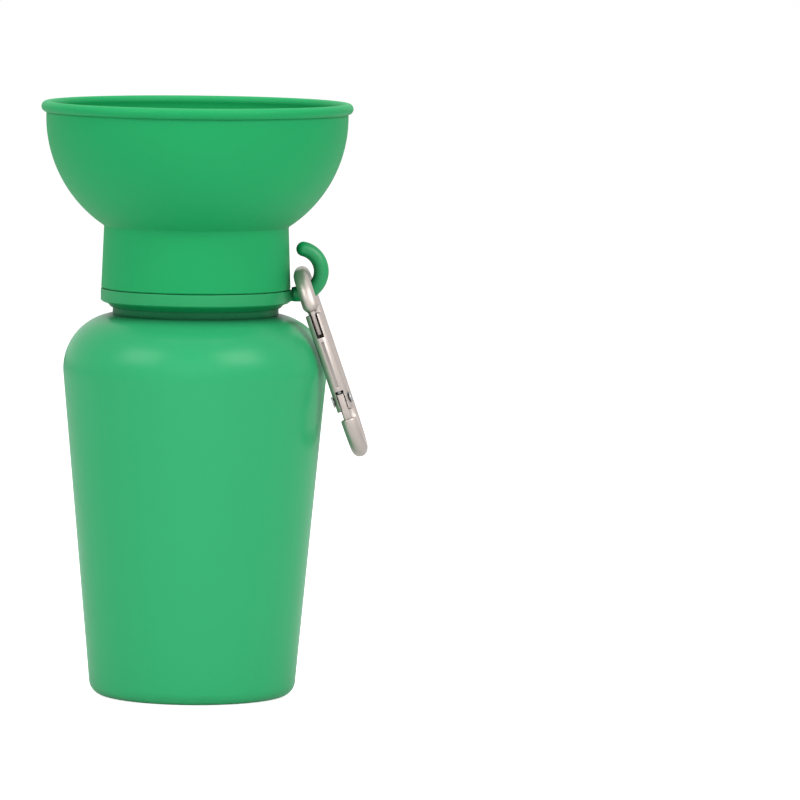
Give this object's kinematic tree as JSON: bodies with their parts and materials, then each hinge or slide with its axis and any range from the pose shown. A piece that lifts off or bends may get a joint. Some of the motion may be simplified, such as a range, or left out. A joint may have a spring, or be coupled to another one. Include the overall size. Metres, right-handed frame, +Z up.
{
  "type": "dog travel water bottle",
  "caption": "Squeeze bottle for giving a dog water: its screw cap carries a fold-down silicone bowl, a twist valve with a carry loop, and a hook ring with a snap hook.",
  "frame": {"origin": "centre of the flat base, on the bottle's axis", "axes": "+Z up along the bottle's axis; +X towards the ring's hook and the snap hook; the snap hook's gate is on the -Y side"},
  "size_m": [0.1135, 0.1072, 0.2049],
  "materials": {
    "bottle_plastic": "gloss, translucent-looking squeeze bottle",
    "cap_plastic": "satin moulded plastic",
    "silicone": "matt silicone",
    "seal": "matt silicone seal",
    "black_seal": "matt rubber",
    "tube_plastic": "clear-natural tube",
    "snap_metal": "satin nickel plate",
    "steel": "plain steel"
  },
  "bodies": {
    "bottle": {"bottle": "bottle_plastic"},
    "gasket": {"cap_gasket": "seal"},
    "cap": {"screw_cap": "cap_plastic", "bowl": "silicone", "port_seal": "seal", "dip_tube": "tube_plastic"},
    "rim": {"bowl_rim": "silicone"},
    "knob": {"twist_knob": "cap_plastic", "stem_oring": "black_seal", "stem_washer": "steel", "stem_clip": "steel"},
    "ring": {"hook_ring": "cap_plastic"},
    "snap_hook": {"carabiner_frame": "snap_metal", "gate_rivet": "steel"},
    "gate": {"carabiner_gate": "snap_metal", "gate_spring": "steel"},
    "plunger": {"gate_plunger": "steel"}
  },
  "joints": [
    {"name": "cap_lift", "type": "slide", "parent": "bottle", "child": "gasket", "axis": [0, 0, 1], "range_m": [0, 0.00675]},
    {"name": "cap_turn", "type": "hinge", "parent": "gasket", "child": "cap", "pos_m": [0, 0, 0.1575], "axis": [0, 0, 1], "range_deg": [0, 540]},
    {"name": "bowl_fold", "type": "slide", "parent": "cap", "child": "rim", "axis": [0, 0, 1], "range_m": [-0.0775, 0], "deforming": ["bowl"]},
    {"name": "knob_turn", "type": "hinge", "parent": "cap", "child": "knob", "pos_m": [0, 0, 0.1608], "axis": [0, 0, 1], "range_deg": [0, 90]},
    {"name": "ring_swivel", "type": "hinge", "parent": "cap", "child": "ring", "pos_m": [0, 0, 0.1383], "axis": [0, 0, 1], "continuous": true},
    {"name": "snap_swing", "type": "hinge", "parent": "ring", "child": "snap_hook", "pos_m": [0.03642, 0, 0.1457], "axis": [0, -1, 0], "range_deg": [0, 125]},
    {"name": "gate_open", "type": "hinge", "parent": "snap_hook", "child": "gate", "pos_m": [0.05089, -0.0155, 0.10415], "axis": [-0.9444, 0, -0.3289], "range_deg": [0, 8], "stiffness_Nm_per_rad": 0.06, "springref_deg": -20.05},
    {"name": "plunger_slide", "type": "slide", "parent": "gate", "child": "plunger", "axis": [-0.3289, 0, 0.9444], "range_m": [0, 0.00031], "deforming": ["gate_spring"]}
  ],
  "couplings": [
    {"joint": "cap_lift", "follows": "cap_turn", "m_per_rad": 0.0007162},
    {"joint": "plunger_slide", "follows": "gate_open", "m_per_rad": 0.0022}
  ]
}
